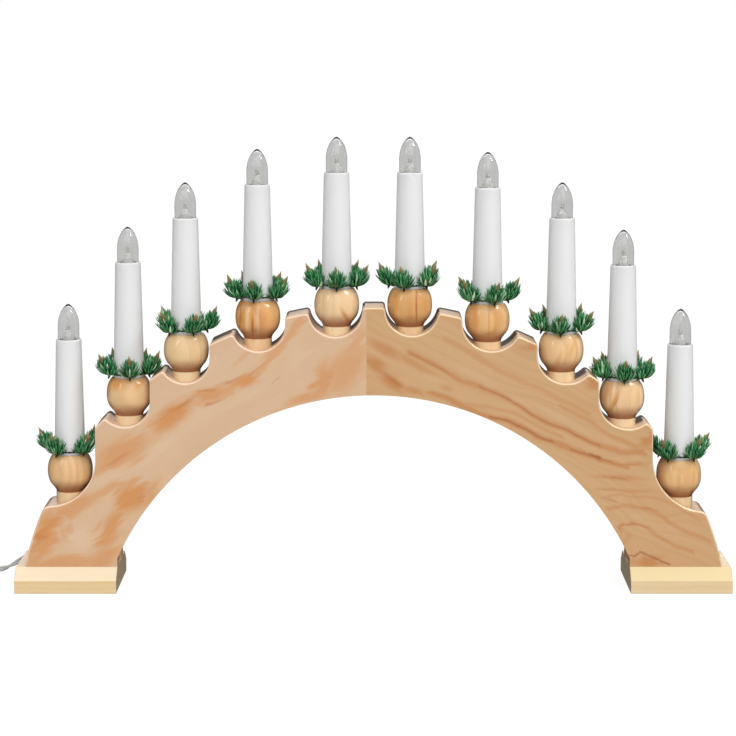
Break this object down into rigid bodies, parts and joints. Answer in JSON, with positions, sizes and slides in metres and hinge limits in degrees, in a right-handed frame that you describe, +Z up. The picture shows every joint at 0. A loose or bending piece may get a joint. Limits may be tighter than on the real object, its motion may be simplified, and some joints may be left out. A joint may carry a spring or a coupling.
{
  "type": "electric candle arch",
  "caption": "Scalloped wooden arch on two foot blocks that carries electric candles in turned wooden holders, with a small green wreath round each candle and a twin-wire mains lead.",
  "frame": {"origin": "on the floor under the middle of the arch, half way between the feet's outer ends", "axes": "+X to the right along the arch as seen from the front, +Y to the back, +Z up; the front is the -Y side"},
  "size_m": [0.657, 0.078, 0.3184],
  "materials": {
    "pine_left": "clear satin lacquer",
    "pine_right": "clear satin lacquer",
    "pine_foot": "clear satin lacquer",
    "dowel": "plain",
    "turned_wood": "clear gloss lacquer",
    "screw": "zinc plated",
    "candle": "smooth satin",
    "bulb": "clear, polished",
    "greenery": "soft, slightly glossy",
    "lampholder": "moulded",
    "wire": "smooth",
    "cover_strip": "plain",
    "grommet": "moulded",
    "cord": "clear insulation over tinned wire",
    "tie": "moulded",
    "plug": "fine moulded texture",
    "pin": "nickel plated"
  },
  "bodies": {
    "root": {"arch_left": "pine_left", "arch_right": "pine_right", "arch_dowels": "dowel", "foot_left": "pine_foot", "foot_right": "pine_foot", "foot_screws": "screw", "holder_01": "turned_wood", "holder_02": "turned_wood", "holder_03": "turned_wood", "holder_04": "turned_wood", "holder_05": "turned_wood", "holder_06": "turned_wood", "holder_07": "turned_wood", "holder_08": "turned_wood", "holder_09": "turned_wood", "holder_10": "turned_wood", "candle_01": "candle", "candle_02": "candle", "candle_03": "candle", "candle_04": "candle", "candle_05": "candle", "candle_06": "candle", "candle_07": "candle", "candle_08": "candle", "candle_09": "candle", "candle_10": "candle", "lampholders": "lampholder", "series_wiring": "wire", "wiring_cover": "cover_strip", "cord_grommet": "grommet", "cord": "cord", "cord_coil": "cord", "coil_tie": "tie", "plug_body": "plug", "plug_pins": "pin"},
    "bulb_01": {"bulb_01": "bulb"},
    "wreath_01": {"wreath_01": "greenery"},
    "bulb_02": {"bulb_02": "bulb"},
    "wreath_02": {"wreath_02": "greenery"},
    "bulb_03": {"bulb_03": "bulb"},
    "wreath_03": {"wreath_03": "greenery"},
    "bulb_04": {"bulb_04": "bulb"},
    "wreath_04": {"wreath_04": "greenery"},
    "bulb_05": {"bulb_05": "bulb"},
    "wreath_05": {"wreath_05": "greenery"},
    "bulb_06": {"bulb_06": "bulb"},
    "wreath_06": {"wreath_06": "greenery"},
    "bulb_07": {"bulb_07": "bulb"},
    "wreath_07": {"wreath_07": "greenery"},
    "bulb_08": {"bulb_08": "bulb"},
    "wreath_08": {"wreath_08": "greenery"},
    "bulb_09": {"bulb_09": "bulb"},
    "wreath_09": {"wreath_09": "greenery"},
    "bulb_10": {"bulb_10": "bulb"},
    "wreath_10": {"wreath_10": "greenery"}
  },
  "joints": [
    {"name": "bulb_turn_01", "type": "hinge", "parent": "root", "child": "bulb_01", "pos_m": [-0.2143, -0.0055, 0.1761], "axis": [0, 0, 1], "range_deg": [0, 720]},
    {"name": "wreath_lift_01", "type": "slide", "parent": "root", "child": "wreath_01", "axis": [0, 0, 1], "range_m": [0, 0.12]},
    {"name": "bulb_turn_02", "type": "hinge", "parent": "root", "child": "bulb_02", "pos_m": [-0.1721, -0.0055, 0.2306], "axis": [0, 0, 1], "range_deg": [0, 720]},
    {"name": "wreath_lift_02", "type": "slide", "parent": "root", "child": "wreath_02", "axis": [0, 0, 1], "range_m": [0, 0.12]},
    {"name": "bulb_turn_03", "type": "hinge", "parent": "root", "child": "bulb_03", "pos_m": [-0.1316, -0.0055, 0.2617], "axis": [0, 0, 1], "range_deg": [0, 720]},
    {"name": "wreath_lift_03", "type": "slide", "parent": "root", "child": "wreath_03", "axis": [0, 0, 1], "range_m": [0, 0.12]},
    {"name": "bulb_turn_04", "type": "hinge", "parent": "root", "child": "bulb_04", "pos_m": [-0.0812, -0.0055, 0.2851], "axis": [0, 0, 1], "range_deg": [0, 720]},
    {"name": "wreath_lift_04", "type": "slide", "parent": "root", "child": "wreath_04", "axis": [0, 0, 1], "range_m": [0, 0.12]},
    {"name": "bulb_turn_05", "type": "hinge", "parent": "root", "child": "bulb_05", "pos_m": [-0.0258, -0.0055, 0.2936], "axis": [0, 0, 1], "range_deg": [0, 720]},
    {"name": "wreath_lift_05", "type": "slide", "parent": "root", "child": "wreath_05", "axis": [0, 0, 1], "range_m": [0, 0.12]},
    {"name": "bulb_turn_06", "type": "hinge", "parent": "root", "child": "bulb_06", "pos_m": [0.0254, -0.0055, 0.2936], "axis": [0, 0, 1], "range_deg": [0, 720]},
    {"name": "wreath_lift_06", "type": "slide", "parent": "root", "child": "wreath_06", "axis": [0, 0, 1], "range_m": [0, 0.12]},
    {"name": "bulb_turn_07", "type": "hinge", "parent": "root", "child": "bulb_07", "pos_m": [0.0798, -0.0055, 0.283], "axis": [0, 0, 1], "range_deg": [0, 720]},
    {"name": "wreath_lift_07", "type": "slide", "parent": "root", "child": "wreath_07", "axis": [0, 0, 1], "range_m": [0, 0.12]},
    {"name": "bulb_turn_08", "type": "hinge", "parent": "root", "child": "bulb_08", "pos_m": [0.1319, -0.0055, 0.2617], "axis": [0, 0, 1], "range_deg": [0, 720]},
    {"name": "wreath_lift_08", "type": "slide", "parent": "root", "child": "wreath_08", "axis": [0, 0, 1], "range_m": [0, 0.12]},
    {"name": "bulb_turn_09", "type": "hinge", "parent": "root", "child": "bulb_09", "pos_m": [0.175, -0.0055, 0.2285], "axis": [0, 0, 1], "range_deg": [0, 720]},
    {"name": "wreath_lift_09", "type": "slide", "parent": "root", "child": "wreath_09", "axis": [0, 0, 1], "range_m": [0, 0.12]},
    {"name": "bulb_turn_10", "type": "hinge", "parent": "root", "child": "bulb_10", "pos_m": [0.2157, -0.0055, 0.1726], "axis": [0, 0, 1], "range_deg": [0, 720]},
    {"name": "wreath_lift_10", "type": "slide", "parent": "root", "child": "wreath_10", "axis": [0, 0, 1], "range_m": [0, 0.12]}
  ]
}
